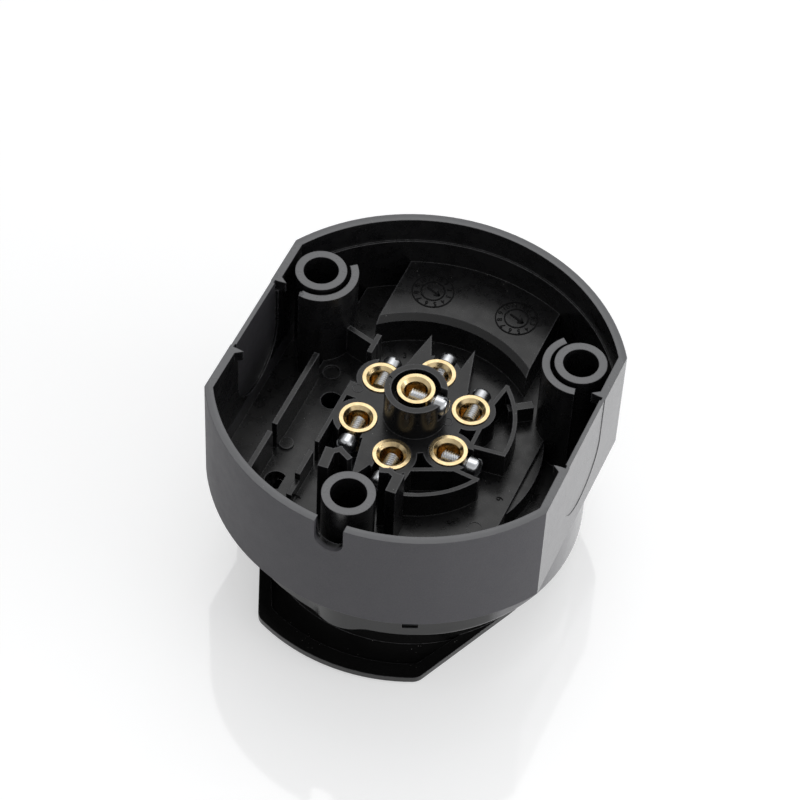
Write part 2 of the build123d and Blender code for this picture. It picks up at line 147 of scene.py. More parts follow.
class SocketFinish(bpy.types.PropertyGroup):
    """Colours and textures of the socket"""
    housing_colour: FloatVectorProperty(
        name="Housing", description="Black moulded plastic inside the housing",
        subtype="COLOR", size=3, default=(0.0045, 0.0045, 0.005))
    grained_colour: FloatVectorProperty(
        name="Grained outside", description="The same plastic where the mould's grain makes it paler",
        subtype="COLOR", size=3, default=(0.048, 0.0465, 0.054))
    # The rim colour is partly the matt finish of the ends and partly painted light on the up-facing tops
    rim_colour: FloatVectorProperty(
        name="Rims", description="The same plastic on the matt ends of the rim and the bosses",
        subtype="COLOR", size=3, default=(0.15, 0.152, 0.158))
    # Paler plastic for rubbed edges, grain speckle and mottle, and also for painted highlights on edges and
    # narrow tops
    wear_colour: FloatVectorProperty(
        name="Wear", description="Plastic that is rubbed paler along edges",
        subtype="COLOR", size=3, default=(0.13, 0.13, 0.138))
    dust_colour: FloatVectorProperty(
        name="Dust", description="Fine pale dust that settles on the plastic",
        subtype="COLOR", size=3, default=(0.42, 0.41, 0.39))
    lid_colour: FloatVectorProperty(
        name="Lid", description="Black glossy plastic of the lid",
        subtype="COLOR", size=3, default=(0.006, 0.006, 0.006))
    rubber_colour: FloatVectorProperty(
        name="Seal", description="Black rubber of the lid's seal",
        subtype="COLOR", size=3, default=(0.013, 0.013, 0.013))
    brass_colour: FloatVectorProperty(
        name="Brass", description="Turned brass of the contacts",
        subtype="COLOR", size=3, default=(0.84, 0.66, 0.38))
    brass_shade: FloatVectorProperty(
        name="Brass shade", description="Brass that has dulled a little",
        subtype="COLOR", size=3, default=(0.60, 0.42, 0.19))
    zinc_colour: FloatVectorProperty(
        name="Zinc", description="Bright zinc plate of the clamp screws",
        subtype="COLOR", size=3, default=(0.80, 0.82, 0.85))
    steel_colour: FloatVectorProperty(
        name="Steel", description="Hinge pin and spring wire",
        subtype="COLOR", size=3, default=(0.50, 0.50, 0.51))
    grain_size: FloatProperty(
        name="Grain", description="Width of one grain of the moulded texture, in millimetres",
        min=0.05, max=2.0, default=0.22)
    edge_radius: FloatProperty(
        name="Edge", description="Round of the moulded edges, in millimetres",
        min=0.01, max=1.0, default=0.22)
    sag_width: FloatProperty(
        name="Sag width",
        description="Width of the slow hollows that the cooling plastic leaves, in millimetres",
        min=2.0, max=60.0, default=16.0)
    sag_depth: FloatProperty(
        name="Sag depth", description="Depth of those hollows, in millimetres",
        min=0.0, max=2.0, default=0.5)


class SocketDetail(bpy.types.PropertyGroup):
    """Sizes of the screws and the moulded marks"""
    thread_radius: FloatProperty(
        name="Thread", description="Outer radius of the screw thread, in millimetres",
        min=0.5, default=1.45)
    thread_pitch: FloatProperty(
        name="Pitch", description="Distance between turns of the thread, in millimetres",
        min=0.2, default=0.5)
    thread_depth: FloatProperty(
        name="Thread depth", description="Depth of the thread, in millimetres",
        min=0.05, default=0.27)
    head_length: FloatProperty(
        name="Head", description="Length of the screw's head, in millimetres",
        min=0.5, default=2.7)
    slot_width: FloatProperty(
        name="Slot", description="Width of the driver slot, in millimetres",
        min=0.2, default=0.6)
    slot_depth: FloatProperty(
        name="Slot depth", description="Depth of the driver slot, in millimetres",
        min=0.2, default=1.1)
    dial_radius: FloatProperty(
        name="Dial", description="Radius of the moulding dials on the ledge, in millimetres",
        min=1.0, default=4.4)
    dial_hours: IntProperty(
        name="Dial numbers", description="How many numbers stand round a moulding dial",
        min=4, default=12)
    mark_height: FloatProperty(
        name="Mark height", description="How far moulded marks stand up, in millimetres",
        min=0.02, default=0.12)
    number_size: FloatProperty(
        name="Numbers", description="Height of the terminal numbers, in millimetres",
        min=0.5, default=2.0)


class SocketStage(bpy.types.PropertyGroup):
    """Camera, light and table"""
    camera_place: FloatVectorProperty(
        name="Camera", description="Where the camera stands",
        subtype="TRANSLATION", size=3, default=(0.13984, -0.36566, 0.47615))
    camera_turn: FloatVectorProperty(
        name="Camera turn", description="How the camera is turned",
        subtype="EULER", size=3, default=(radians(38.8627), radians(-1.9701), radians(23.8156)))
    camera_lens: FloatProperty(
        name="Lens", description="Focal length in millimetres on a 36 mm sensor",
        min=10.0, default=142.41)
    sheen_way: FloatVectorProperty(
        name="Sheen", description="Where the brightest part of the studio's roof is",
        subtype="DIRECTION", size=3, default=(-0.10, 0.42, 0.90))
    sheen_level: FloatProperty(
        name="Sheen level", description="How much brighter that part is",
        min=0.0, max=10.0, default=1.2)
    panel_place: FloatVectorProperty(
        name="Panel", description="Where the light panel at the right stands",
        subtype="TRANSLATION", size=3, default=(0.80, 0.10, 0.15))
    panel_target: FloatVectorProperty(
        name="Panel target", description="The place that the panel faces",
        subtype="TRANSLATION", size=3, default=(0.0, 0.0, -0.02))
    panel_size: FloatVectorProperty(
        name="Panel size", description="Width and height of the panel",
        unit="LENGTH", size=2, default=(0.5, 0.3))
    panel_power: FloatProperty(
        name="Panel power", description="Power of the panel",
        unit="POWER", min=0.0, default=2.0)
    floor_colour: FloatVectorProperty(
        name="Floor", description="White glossy table",
        subtype="COLOR", size=3, default=(0.70, 0.705, 0.71))
    floor_glow: FloatProperty(
        name="Floor glow", description="White that the camera sees in the table besides its light",
        min=0.0, max=1.0, default=0.44)


# Node helpers


def feed(tree, socket, value):
    # Links an output to a socket, or writes a plain value on it
    if isinstance(value, bpy.types.NodeSocket):
        tree.links.new(value, socket)
    else:
        socket.default_value = value


def new_material(name, colour, roughness, metallic=0.0):
    material = bpy.data.materials.new(name)
    material.use_nodes = True
    shader = material.node_tree.nodes["Principled BSDF"]
    shader.inputs["Base Color"].default_value = (*colour, 1.0)
    shader.inputs["Roughness"].default_value = roughness
    shader.inputs["Metallic"].default_value = metallic
    material.diffuse_color = (*colour, 1.0)
    return material.node_tree, shader


def math_node(tree, operation, first, second=None, clamp=False):
    node = tree.nodes.new("ShaderNodeMath")
    node.operation = operation
    node.use_clamp = clamp
    feed(tree, node.inputs[0], first)
    if second is not None:
        feed(tree, node.inputs[1], second)
    return node.outputs[0]


def product(tree, first, *others):
    result = first
    for value in others:
        result = math_node(tree, "MULTIPLY", result, value)
    return result


def colour_mix(tree, factor, first, second):
    node = tree.nodes.new("ShaderNodeMix")
    node.data_type = "RGBA"
    tree.links.new(factor, node.inputs["Factor"])
    for name, value in (("A", first), ("B", second)):
        socket = [s for s in node.inputs if s.name == name and s.type == "RGBA"][0]
        feed(tree, socket, value if isinstance(value, bpy.types.NodeSocket) else (*value, 1.0))
    return [s for s in node.outputs if s.type == "RGBA"][0]


def paint_over(tree, colour, layers):
    # Lays colours over the first one, each through its own mask
    for mask, paint in layers:
        colour = colour_mix(tree, mask, colour, paint)
    return colour


def value_range(tree, value, source, target=(0.0, 1.0)):
    # Carries a value from one range to another, and stops at the ends
    node = tree.nodes.new("ShaderNodeMapRange")
    tree.links.new(value, node.inputs["Value"])
    labels = ("From Min", "From Max", "To Min", "To Max")
    for label, end in zip(labels, (*source, *target)):
        node.inputs[label].default_value = end
    return node.outputs["Result"]


def vector_parts(tree, vector):
    node = tree.nodes.new("ShaderNodeSeparateXYZ")
    tree.links.new(vector, node.inputs[0])
    return node.outputs


def dot_product(tree, first, second):
    node = tree.nodes.new("ShaderNodeVectorMath")
    node.operation = "DOT_PRODUCT"
    feed(tree, node.inputs[0], first)
    feed(tree, node.inputs[1], second)
    return node.outputs["Value"]


def noise(tree, place, grain, detail=2.0):
    # Noise whose patches are about one grain wide, in millimetres
    node = tree.nodes.new("ShaderNodeTexNoise")
    node.inputs["Detail"].default_value = detail
    if isinstance(grain, (int, float)):
        node.inputs["Scale"].default_value = 1 / (grain * MM)
    else:
        tree.links.new(math_node(tree, "DIVIDE", 1 / MM, grain), node.inputs["Scale"])
    tree.links.new(place, node.inputs["Vector"])
    return node.outputs["Fac"]


def object_place(tree):
    return tree.nodes.new("ShaderNodeTexCoord").outputs["Object"]


def surface_normal(tree):
    return tree.nodes.new("ShaderNodeNewGeometry").outputs["Normal"]


def bumped(tree, height, depth, strength, normal=None):
    # The normal of a surface with bumps, whose depth is in millimetres
    bump = tree.nodes.new("ShaderNodeBump")
    bump.inputs["Distance"].default_value = depth * MM
    feed(tree, bump.inputs["Strength"], strength)
    tree.links.new(height, bump.inputs["Height"])
    if normal is not None:
        tree.links.new(normal, bump.inputs["Normal"])
    return bump.outputs["Normal"]


def new_group(name, inputs, outputs):
    tree = bpy.data.node_groups.new(name, "ShaderNodeTree")
    for label, value in inputs:
        socket = tree.interface.new_socket(name=label, in_out="INPUT", socket_type="NodeSocketFloat")
        socket.default_value = value
    for label, kind in outputs:
        tree.interface.new_socket(name=label, in_out="OUTPUT", socket_type=kind)
    entry = tree.nodes.new("NodeGroupInput")
    result = tree.nodes.new("NodeGroupOutput")
    return tree, entry.outputs, result.inputs


def use_group(tree, name, **values):
    node = tree.nodes.new("ShaderNodeGroup")
    node.node_tree = bpy.data.node_groups[name]
    for label, value in values.items():
        feed(tree, node.inputs[label], value)
    return node


def end_mask(tree, entry, result, mask):
    # Ends a group with its mask times its amount
    amount = math_node(tree, "MULTIPLY", mask, entry["Amount"], clamp=True)
    tree.links.new(amount, result["Mask"])


# Shader groups


def moulded_grain_group():
    # Fine spark-eroded grain of a mould, with slow waves in it
    tree, entry, result = new_group(
        "moulded_grain", [("Grain", 0.22), ("Waves", 0.3)],
        [("Height", "NodeSocketFloat"), ("Mottle", "NodeSocketFloat"), ("Speckle", "NodeSocketFloat")])
    wave_width = 6.0
    mottle_width = 2.4
    place = object_place(tree)
    fine = noise(tree, place, entry["Grain"], 3.0)
    waves = product(tree, noise(tree, place, wave_width, 1.0), entry["Waves"])
    tree.links.new(math_node(tree, "ADD", fine, waves), result["Height"])
    tree.links.new(noise(tree, place, mottle_width, 4.0), result["Mottle"])
    tree.links.new(value_range(tree, fine, (0.35, 0.65)), result["Speckle"])


def edge_wear_group():
    # Where a rounded normal leaves the true one, an edge is painted paler: partly rubbing, partly painted
    # highlight where the rounded edge catches light
    tree, entry, result = new_group(
        "edge_wear_and_highlight", [("Radius", 0.16), ("Amount", 1.0)],
        [("Mask", "NodeSocketFloat"), ("Normal", "NodeSocketVector")])
    patch_width = 1.1
    bevel = tree.nodes.new("ShaderNodeBevel")
    bevel.samples = 6
    tree.links.new(product(tree, entry["Radius"], MM), bevel.inputs["Radius"])
    likeness = dot_product(tree, bevel.outputs["Normal"], surface_normal(tree))
    edge = value_range(tree, likeness, (0.99, 0.80))
    patchy = value_range(tree, noise(tree, object_place(tree), patch_width, 3.0), (0.38, 0.62), (0.25, 1.0))
    end_mask(tree, entry, result, product(tree, edge, patchy))
    tree.links.new(bevel.outputs["Normal"], result["Normal"])


def thin_edge_group():
    # Painted highlight where the material is thin seen from inside, along outer edges and on narrow tops,
    # strongest where they face up
    tree, entry, result = new_group(
        "thin_edge_highlights", [("Reach", 0.5), ("Amount", 1.0)], [("Mask", "NodeSocketFloat")])
    patch_width = 1.3
    inward = tree.nodes.new("ShaderNodeAmbientOcclusion")
    inward.inside = True
    inward.only_local = True
    inward.samples = 4
    tree.links.new(product(tree, entry["Reach"], MM), inward.inputs["Distance"])
    thin_edge_highlight = value_range(tree, inward.outputs["AO"], (0.95, 0.5))
    facing = value_range(tree, vector_parts(tree, surface_normal(tree))["Z"], (0.3, 0.8), (0.15, 1.0))
    patchy = value_range(tree, noise(tree, object_place(tree), patch_width, 3.0), (0.35, 0.65), (0.6, 1.0))
    end_mask(tree, entry, result, product(tree, thin_edge_highlight, facing, patchy))


def dust_group():
    # Scattered specks, mostly on what faces up
    tree, entry, result = new_group(
        "dust_specks", [("Spacing", 0.9), ("Amount", 0.5)], [("Mask", "NodeSocketFloat")])
    drift_width = 3.1
    place = object_place(tree)
    cells = tree.nodes.new("ShaderNodeTexVoronoi")
    tree.links.new(place, cells.inputs["Vector"])
    tree.links.new(math_node(tree, "DIVIDE", 1 / MM, entry["Spacing"]), cells.inputs["Scale"])
    speck = value_range(tree, cells.outputs["Distance"], (0.05, 0.11), (1.0, 0.0))
    rare = value_range(tree, noise(tree, place, drift_width), (0.52, 0.68))
    facing = value_range(tree, vector_parts(tree, surface_normal(tree))["Z"], (-0.1, 0.6), (0.25, 1.0))
    end_mask(tree, entry, result, product(tree, speck, rare, facing))


def tool_marks_group():
    # Rings that a lathe leaves round the middle of a turned piece
    tree, entry, result = new_group(
        "tool_marks", [("Width", 7.6), ("Pitch", 0.12)],
        [("Height", "NodeSocketFloat"), ("Mottle", "NodeSocketFloat")])
    length = 30.0
    mottle_width = 0.9
    inside = vector_parts(tree, tree.nodes.new("ShaderNodeTexCoord").outputs["Generated"])
    across = []
    for axis in ("X", "Y"):
        centred = math_node(tree, "SUBTRACT", inside[axis], 0.5)
        across.append(math_node(tree, "POWER", centred, 2.0))
    reach = product(tree, math_node(tree, "SQRT", math_node(tree, "ADD", *across)), entry["Width"])
    steps = math_node(tree, "ADD", reach, product(tree, inside["Z"], length))
    phase = math_node(tree, "DIVIDE", product(tree, steps, 2 * pi), entry["Pitch"])
    tree.links.new(math_node(tree, "SINE", phase), result["Height"])
    tree.links.new(noise(tree, object_place(tree), mottle_width, 3.0), result["Mottle"])


# Masks of the housing


def rim_mask(tree):
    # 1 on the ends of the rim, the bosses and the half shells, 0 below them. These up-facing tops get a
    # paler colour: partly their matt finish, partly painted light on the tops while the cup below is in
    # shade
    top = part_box("housing")[1].z
    place = vector_parts(tree, object_place(tree))
    facing = vector_parts(tree, surface_normal(tree))
    near = value_range(tree, place["Z"], [top - depth * MM for depth in RIM_BAND])
    return product(tree, near, value_range(tree, facing["Z"], (0.6, 0.9)))


def outside_mask(tree):
    # Two masks, both 0 in the cup. The first is 1 on all of the grained outside, and the second on its
    # flat part: the two flats and, below the cup, what faces left or right far from the middle
    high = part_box("housing")[1]
    skin = SKIN * MM
    place = vector_parts(tree, object_place(tree))
    facing = vector_parts(tree, surface_normal(tree))
    squares = [math_node(tree, "POWER", place[axis], 2.0) for axis in ("X", "Y")]
    reach = math_node(tree, "SQRT", math_node(tree, "ADD", *squares))
    side = math_node(tree, "ABSOLUTE", place["X"])
    sideways = math_node(tree, "ABSOLUTE", facing["X"])
    round_part = value_range(tree, reach, (high.y - skin, high.y - skin / 2))
    flat_part = product(
        tree, value_range(tree, side, (high.x - skin, high.x - skin / 2)),
        value_range(tree, sideways, (0.92, 0.98)))
    low_part = product(
        tree, value_range(tree, place["Z"], [level * MM for level in BELOW_CUP], (1.0, 0.0)),
        value_range(tree, side, [reach_out * MM for reach_out in FAR_SIDE]),
        value_range(tree, sideways, (0.25, 0.6)),
        math_node(tree, "SUBTRACT", 1.0, round_part))
    flat_part = math_node(tree, "MAXIMUM", flat_part, low_part)
    return math_node(tree, "MAXIMUM", round_part, flat_part), flat_part


def front_mask(tree):
    # 1 on the polished barrel and the shoulder under the skirt, 0 above them
    place = vector_parts(tree, object_place(tree))
    skirt_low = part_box("housing")[1].z - SKIRT_DEPTH * MM
    return value_range(tree, place["Z"], (skirt_low - SKIRT_EDGE * MM, skirt_low), (1.0, 0.0))


# Materials


def mottled(tree, grain, low, high):
    # A value that wanders from low to high with the mottle of a grain
    return value_range(tree, grain.outputs["Mottle"], MOTTLE, (low, high))


def moulded_black(finish):
    tree, shader = new_material("moulded_black", finish.housing_colour, 0.4)
    speckle_share = 0.16
    polish = 0.16
    outside, flats = outside_mask(tree)
    grain = use_group(tree, "moulded_grain", Grain=finish.grain_size)
    wear_and_highlight = use_group(tree, "edge_wear_and_highlight", Radius=finish.edge_radius, Amount=0.8)
    thin_edge_highlight = use_group(tree, "thin_edge_highlights", Reach=0.32, Amount=0.8)
    dust = use_group(tree, "dust_specks", Spacing=1.1, Amount=0.5)
    speckle = product(tree, grain.outputs["Speckle"], product(tree, outside, speckle_share))
    colour = colour_mix(tree, outside, finish.housing_colour, finish.grained_colour)
    # Over the base: grain speckle, the rim tops' matt colour with painted light, painted highlight on thin
    # edges and narrow tops, mottle, edge wear with painted highlight, and dust
    colour = paint_over(tree, colour, (
        (speckle, finish.wear_colour),
        (rim_mask(tree), finish.rim_colour),
        (thin_edge_highlight.outputs["Mask"], finish.wear_colour),
        (mottled(tree, grain, 0.0, 0.03), finish.wear_colour),
        (wear_and_highlight.outputs["Mask"], finish.wear_colour),
        (dust.outputs["Mask"], finish.dust_colour)))
    tree.links.new(colour, shader.inputs["Base Color"])
    inside_roughness = mottled(tree, grain, 0.22, 0.34)
    outside_roughness = mottled(tree, grain, 0.54, 0.60)
    gap = math_node(tree, "SUBTRACT", outside_roughness, inside_roughness)
    roughness = math_node(tree, "ADD", inside_roughness, product(tree, gap, outside))
    roughness = math_node(tree, "SUBTRACT", roughness, product(tree, front_mask(tree), polish))
    tree.links.new(roughness, shader.inputs["Roughness"])
    hollows = noise(tree, object_place(tree), finish.sag_width, 0.0)
    normal = bumped(tree, hollows, finish.sag_depth, 1.0, wear_and_highlight.outputs["Normal"])
    strength = value_range(tree, outside, (0.0, 1.0), (0.06, 0.35))
    normal = bumped(tree, grain.outputs["Height"], 0.05, strength, normal)
    tree.links.new(normal, shader.inputs["Normal"])
    tree.links.new(flats, shader.inputs["Coat Weight"])
    shader.inputs["Coat Roughness"].default_value = 0.25


def lid_black(finish):
    tree, shader = new_material("lid_black", finish.lid_colour, 0.16)
    grain = use_group(tree, "moulded_grain", Grain=0.5, Waves=1.2)
    wear_and_highlight = use_group(tree, "edge_wear_and_highlight", Radius=finish.edge_radius, Amount=0.8)
    dust = use_group(tree, "dust_specks", Spacing=0.7, Amount=1.0)
    # Edge wear with painted highlight, and dust, over the lid's black
    colour = paint_over(tree, finish.lid_colour, (
        (wear_and_highlight.outputs["Mask"], finish.wear_colour), (dust.outputs["Mask"], finish.dust_colour)))
    tree.links.new(colour, shader.inputs["Base Color"])
    tree.links.new(mottled(tree, grain, 0.12, 0.22), shader.inputs["Roughness"])
    normal = bumped(tree, grain.outputs["Height"], 0.02, 0.12, wear_and_highlight.outputs["Normal"])
    tree.links.new(normal, shader.inputs["Normal"])


def grained_material(name, colours, shade, roughness, bump, metallic=0.0, edge=None, **grain):
    # A material whose colour and roughness wander with its grain. The bump has a depth in millimetres
    # and a strength, and the edge a radius in millimetres
    tree, shader = new_material(name, colours[0], roughness[0], metallic)
    texture = use_group(tree, "moulded_grain", **grain)
    colour = colour_mix(tree, mottled(tree, texture, 0.0, shade), *colours)
    tree.links.new(colour, shader.inputs["Base Color"])
    tree.links.new(mottled(tree, texture, *roughness), shader.inputs["Roughness"])
    normal = None
    if edge is not None:
        normal = use_group(tree, "edge_wear_and_highlight", Radius=edge).outputs["Normal"]
    tree.links.new(bumped(tree, texture.outputs["Height"], *bump, normal), shader.inputs["Normal"])
    return shader


def marked_black(finish):
    # The dials stand in the shade of their own small steps; that shade is painted, with a duller black of
    # little gloss, so they are darker than what carries them
    shader = grained_material(
        "marked_black", (finish.housing_colour, finish.wear_colour), shade=0.02,
        roughness=(0.5, 0.65), bump=(0.05, 0.2), Grain=finish.grain_size)
    shader.inputs["Specular IOR Level"].default_value = 0.12


def seal_rubber(finish):
    grained_material(
        "seal_rubber", (finish.rubber_colour, finish.wear_colour), shade=0.2,
        roughness=(0.6, 0.78), bump=(0.04, 0.3), Grain=0.3, Waves=0.6)


def bright_zinc(finish):
    grained_material(
        "bright_zinc", (finish.zinc_colour, finish.steel_colour), shade=0.35,
        roughness=(0.22, 0.34), bump=(0.01, 0.1), metallic=1.0, edge=0.08, Grain=0.35, Waves=0.8)


def drawn_steel(finish):
    grained_material(
        "drawn_steel", (finish.steel_colour, finish.zinc_colour), shade=0.4,
        roughness=(0.24, 0.4), bump=(0.02, 0.2), metallic=1.0, Grain=0.4, Waves=0.5)


def turned_brass(finish):
    tree, shader = new_material("turned_brass", finish.brass_colour, 0.2, 1.0)
    marks = use_group(tree, "tool_marks", Pitch=0.14)
    edge = use_group(tree, "edge_wear_and_highlight", Radius=0.12)
    shade = value_range(tree, marks.outputs["Mottle"], (0.35, 0.75), (0.0, 0.45))
    colour = colour_mix(tree, shade, finish.brass_colour, finish.brass_shade)
    tree.links.new(colour, shader.inputs["Base Color"])
    tree.links.new(mottled(tree, marks, 0.14, 0.26), shader.inputs["Roughness"])
    normal = bumped(tree, marks.outputs["Height"], 0.004, 0.2, edge.outputs["Normal"])
    tree.links.new(normal, shader.inputs["Normal"])


# Mesh helpers


def finish_node(node, material):
    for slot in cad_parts[node].material_slots:
        slot.material = bpy.data.materials[material]


def new_object(name, data):
    item = bpy.data.objects.new(name, data)
    bpy.context.scene.collection.objects.link(item)
    return item


def new_piece(name, mesh, material, body):
    mesh.materials.clear()
    mesh.materials.append(bpy.data.materials[material])
    piece = new_object(name, mesh)
    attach(piece, body)
    return piece


def mesh_from(builder, name, sharp_angle=35):
    builder.normal_update()
    mesh = bpy.data.meshes.new(name)
    builder.to_mesh(mesh)
    builder.free()
    mesh.shade_smooth()
    mesh.set_sharp_from_angle(angle=radians(sharp_angle))
    return mesh


def evaluated_mesh(item):
    # A new mesh of an object, with its modifiers or its text worked out
    bpy.context.view_layer.update()
    depsgraph = bpy.context.evaluated_depsgraph_get()
    return bpy.data.meshes.new_from_object(item.evaluated_get(depsgraph))


def place_on(x, y):
    # The place on the housing that a ray from above meets at a point of the drawing, in metres
    start = Vector((x * MM, y * MM, cad_high.z + RAY_START * MM))
    found, place, _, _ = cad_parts["housing"].ray_cast(start, Vector((0, 0, -1)))
    if not found:
        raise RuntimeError(f"no part of the housing lies under ({x}, {y})")
    return Vector((x * MM, y * MM, place.z))


def ring_band(builder, centre, inner, outer, low, high, steps=64):
    # A flat raised ring with all four of its sides
    corners = ((inner, low), (outer, low), (outer, high), (inner, high))
    rows = []
    for step in range(steps):
        angle = 2 * pi * step / steps
        row = []
        for radius, level in corners:
            point = Vector((radius * cos(angle), radius * sin(angle), level)) + centre
            row.append(builder.verts.new(point))
        rows.append(row)
    for step in range(steps):
        here, there = rows[step], rows[(step + 1) % steps]
        for corner in range(4):
            after = (corner + 1) % 4
            builder.faces.new((here[corner], there[corner], there[after], here[after]))


def bar(builder, start, end, width, low, high):
    # A raised straight stroke from start to end
    along = (end - start).normalized()
    side = Vector((-along.y, along.x, 0)) * width / 2
    flat = [start - side, end - side, end + side, start + side]
    bottom = [builder.verts.new(point + Vector((0, 0, low))) for point in flat]
    top = [builder.verts.new(point + Vector((0, 0, high))) for point in flat]
    builder.faces.new(top)
    builder.faces.new(bottom[::-1])
    for corner in range(4):
        after = (corner + 1) % 4
        builder.faces.new((bottom[corner], bottom[after], top[after], top[corner]))


def add_number(builder, text, size, height, place, turn):
    # Raised digits, centred on a place and turned about Z, all in metres and radians
    curve = bpy.data.curves.new("number", "FONT")
    curve.body = text
    curve.size = size
    curve.extrude = height
    curve.resolution_u = 3
    curve.align_x = "CENTER"
    curve.align_y = "CENTER"
    holder = new_object("number", curve)
    mesh = evaluated_mesh(holder)
    mesh.transform(Matrix.Translation(place) @ Matrix.Rotation(turn, 4, "Z"))
    builder.from_mesh(mesh)
    bpy.data.objects.remove(holder)
    bpy.data.meshes.remove(mesh)
    bpy.data.curves.remove(curve)


def add_skin(builder, rings):
    # Joins rings of points into one skin, and closes both ends
    rows = [[builder.verts.new(point) for point in ring] for ring in rings]
    steps = len(rows[0])
    for first, second in zip(rows[:-1], rows[1:]):
        for step in range(steps):
            after = (step + 1) % steps
            builder.faces.new((first[step], first[after], second[after], second[step]))
    builder.faces.new(rows[0])
    builder.faces.new(rows[-1][::-1])


def turned_rings(profile):
    # Rings about the X axis, one through each (along, radius) point of a profile
    angles = [2 * pi * step / SCREW_STEPS for step in range(SCREW_STEPS)]
    return [[(along, radius * cos(angle), radius * sin(angle)) for angle in angles]
            for along, radius in profile]


def thread_rings(detail, length):
    # Rings of a real helical thread that runs out to a cone at its tip, with its length in metres
    radius = detail.thread_radius * MM
    pitch = detail.thread_pitch * MM
    depth = detail.thread_depth * MM
    rings = []
    count = ceil(length / pitch * ROWS_PER_TURN)
    for row in range(count + 1):
        along = length * row / count
        tip = min(1.0, along / pitch + THREAD_TIP)
        ring = []
        for step in range(SCREW_STEPS):
            turn = step / SCREW_STEPS
            phase = (along / pitch - turn) % 1.0
            ridge = 1 - abs(2 * phase - 1)
            reach = (radius - depth + depth * min(1.0, THREAD_CREST * ridge)) * tip
            angle = 2 * pi * turn
            ring.append((along, reach * cos(angle), reach * sin(angle)))
        rings.append(ring)
    return rings


def head_mesh(detail, start, top, radius):
    # The screw's domed head from start to top along X, in metres, with the driver slot cut out
    dome = HEAD_DOME * MM
    bevel_along, bevel_across = HEAD_BEVEL
    profile = [(start, radius - bevel_across * MM), (start + bevel_along * MM, radius)]
    for step in range(DOME_STEPS + 1):
        angle = pi / 2 * step / DOME_STEPS
        profile.append((top - dome + dome * sin(angle), radius - dome + dome * cos(angle)))
    builder = bmesh.new()
    add_skin(builder, turned_rings(profile))
    head = new_object("head", mesh_from(builder, "head"))

    # The block that cuts the slot is centred on the top, so only half of it is in the head
    builder = bmesh.new()
    bmesh.ops.create_cube(builder, size=1.0)
    scale = Vector((2 * detail.slot_depth * MM, 4 * radius, detail.slot_width * MM))
    bmesh.ops.scale(builder, vec=scale, verts=builder.verts)
    bmesh.ops.translate(builder, vec=(top, 0, 0), verts=builder.verts)
    slot = new_object("slot", mesh_from(builder, "slot"))

    cut = head.modifiers.new("slot", "BOOLEAN")
    cut.object = slot
    cut.solver = "EXACT"
    slotted = evaluated_mesh(head)
    for item in (head, slot):
        mesh = item.data
        bpy.data.objects.remove(item)
        bpy.data.meshes.remove(mesh)
    return slotted


def screw_mesh(detail, length, head_radius):
    # One clamp screw along X, with its tip at zero and its sizes in millimetres
    shank = (length - detail.head_length) * MM
    builder = bmesh.new()
    add_skin(builder, thread_rings(detail, shank))
    thread = mesh_from(builder, "thread")
    head = head_mesh(detail, shank - HEAD_COVER * MM, length * MM, head_radius * MM)
    builder = bmesh.new()
    for mesh in (thread, head):
        builder.from_mesh(mesh)
        bpy.data.meshes.remove(mesh)
    return mesh_from(builder, "clamp_screw_turned", 30)


def screw_direction(number):
    # The screw reaches out of its contact on the side of its head
    low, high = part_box(f"contact_{number}")
    screw_low, screw_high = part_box(f"clamp_screw_{number}")
    offset = (screw_low + screw_high - low - high) / 2
    if abs(offset.x) > abs(offset.y):
        return Vector((1 if offset.x > 0 else -1, 0, 0))
    return Vector((0, 1 if offset.y > 0 else -1, 0))


def add_dial(detail, side, place):
    # A ring, an inner ring, the numbers between them, and an arrow in the middle
    radius = detail.dial_radius * MM
    height = detail.mark_height * MM
    stroke = DIAL_STROKE * MM
    sunk = -height / 2
    inner = DIAL_INNER_RING * radius
    centre = place_on(*place)
    builder = bmesh.new()
    ring_band(builder, centre, radius - stroke, radius, sunk, height)
    ring_band(builder, centre, inner, inner + stroke, sunk, height)
    for hour in range(detail.dial_hours):
        angle = pi / 2 - 2 * pi * (hour + 1) / detail.dial_hours
        spot = centre + Vector((cos(angle), sin(angle), 0)) * radius * DIAL_NUMBER_RING
        add_number(builder, str(hour + 1), DIAL_NUMBER_SIZE * MM, height, spot, angle - pi / 2)
    tail = centre + Vector(ARROW_TAIL) * radius
    head = centre + Vector(ARROW_HEAD) * radius
    bar(builder, tail, head, ARROW_STROKES * stroke, sunk, height)
    back = (tail - head).normalized()
    for turn in (BARB_TURN, -BARB_TURN):
        barb = back.copy()
        barb.rotate(Euler((0, 0, turn)))
        bar(builder, head, head + barb * radius * BARB_LENGTH, BARB_STROKES * stroke, sunk, height)
    mesh = mesh_from(builder, f"moulding_dial_{side}")
    new_piece(f"moulding_dial_{side}", mesh, "marked_black", "housing")


# Operators


class SOCKET_OT_finishes(bpy.types.Operator):
    """Make the shader groups and the finishes"""
    bl_idname = "socket.finishes"
    bl_label = "Finishes"

    def execute(self, context):
        for make_group in (moulded_grain_group, edge_wear_group, thin_edge_group, dust_group,
                           tool_marks_group):
            make_group()
        for make_material in (moulded_black, marked_black, lid_black, seal_rubber, turned_brass,
                              bright_zinc, drawn_steel):
            make_material(context.scene.socket_finish)
        return {"FINISHED"}


class SOCKET_OT_housing(bpy.types.Operator):
    """Give the housing its grained black plastic"""
    bl_idname = "socket.housing"
    bl_label = "Housing"

    def execute(self, context):
        finish_node("housing", "moulded_black")
        return {"FINISHED"}


